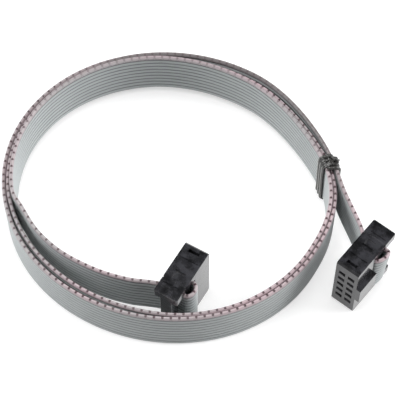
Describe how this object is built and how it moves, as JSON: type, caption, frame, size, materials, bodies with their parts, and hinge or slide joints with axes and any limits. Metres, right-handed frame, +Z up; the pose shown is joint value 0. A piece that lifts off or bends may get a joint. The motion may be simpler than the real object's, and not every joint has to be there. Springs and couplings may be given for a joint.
{
  "type": "ribbon cable",
  "caption": "Flat ribbed ribbon cable wound into a loose tied coil, with a two-row insulation-piercing socket pressed on at each end.",
  "frame": {"origin": "centre of the bounding box's bottom face, on the ground the part lies on", "axes": "+Z up; +X to the right and +Y to the back, seen from the side of the two sockets"},
  "size_m": [0.0916, 0.0744, 0.0173],
  "materials": {
    "ribbon_vinyl": "satin grey vinyl with a pink washed and dark dashed first conductor",
    "tie_plastic": "glossy",
    "black_plastic": "glossy moulded",
    "contact_plating": "plated, satin"
  },
  "bodies": {
    "root": {"ribbon": "ribbon_vinyl", "tie": "tie_plastic", "socket_body_a": "black_plastic", "cover_a": "black_plastic", "strain_relief_a": "black_plastic", "socket_body_b": "black_plastic", "cover_b": "black_plastic", "strain_relief_b": "black_plastic", "contact_a01": "contact_plating", "contact_a02": "contact_plating", "contact_a03": "contact_plating", "contact_a04": "contact_plating", "contact_a05": "contact_plating", "contact_a06": "contact_plating", "contact_a07": "contact_plating", "contact_a08": "contact_plating", "contact_a09": "contact_plating", "contact_a10": "contact_plating", "contact_b01": "contact_plating", "contact_b02": "contact_plating", "contact_b03": "contact_plating", "contact_b04": "contact_plating", "contact_b05": "contact_plating", "contact_b06": "contact_plating", "contact_b07": "contact_plating", "contact_b08": "contact_plating", "contact_b09": "contact_plating", "contact_b10": "contact_plating"}
  },
  "joints": []
}
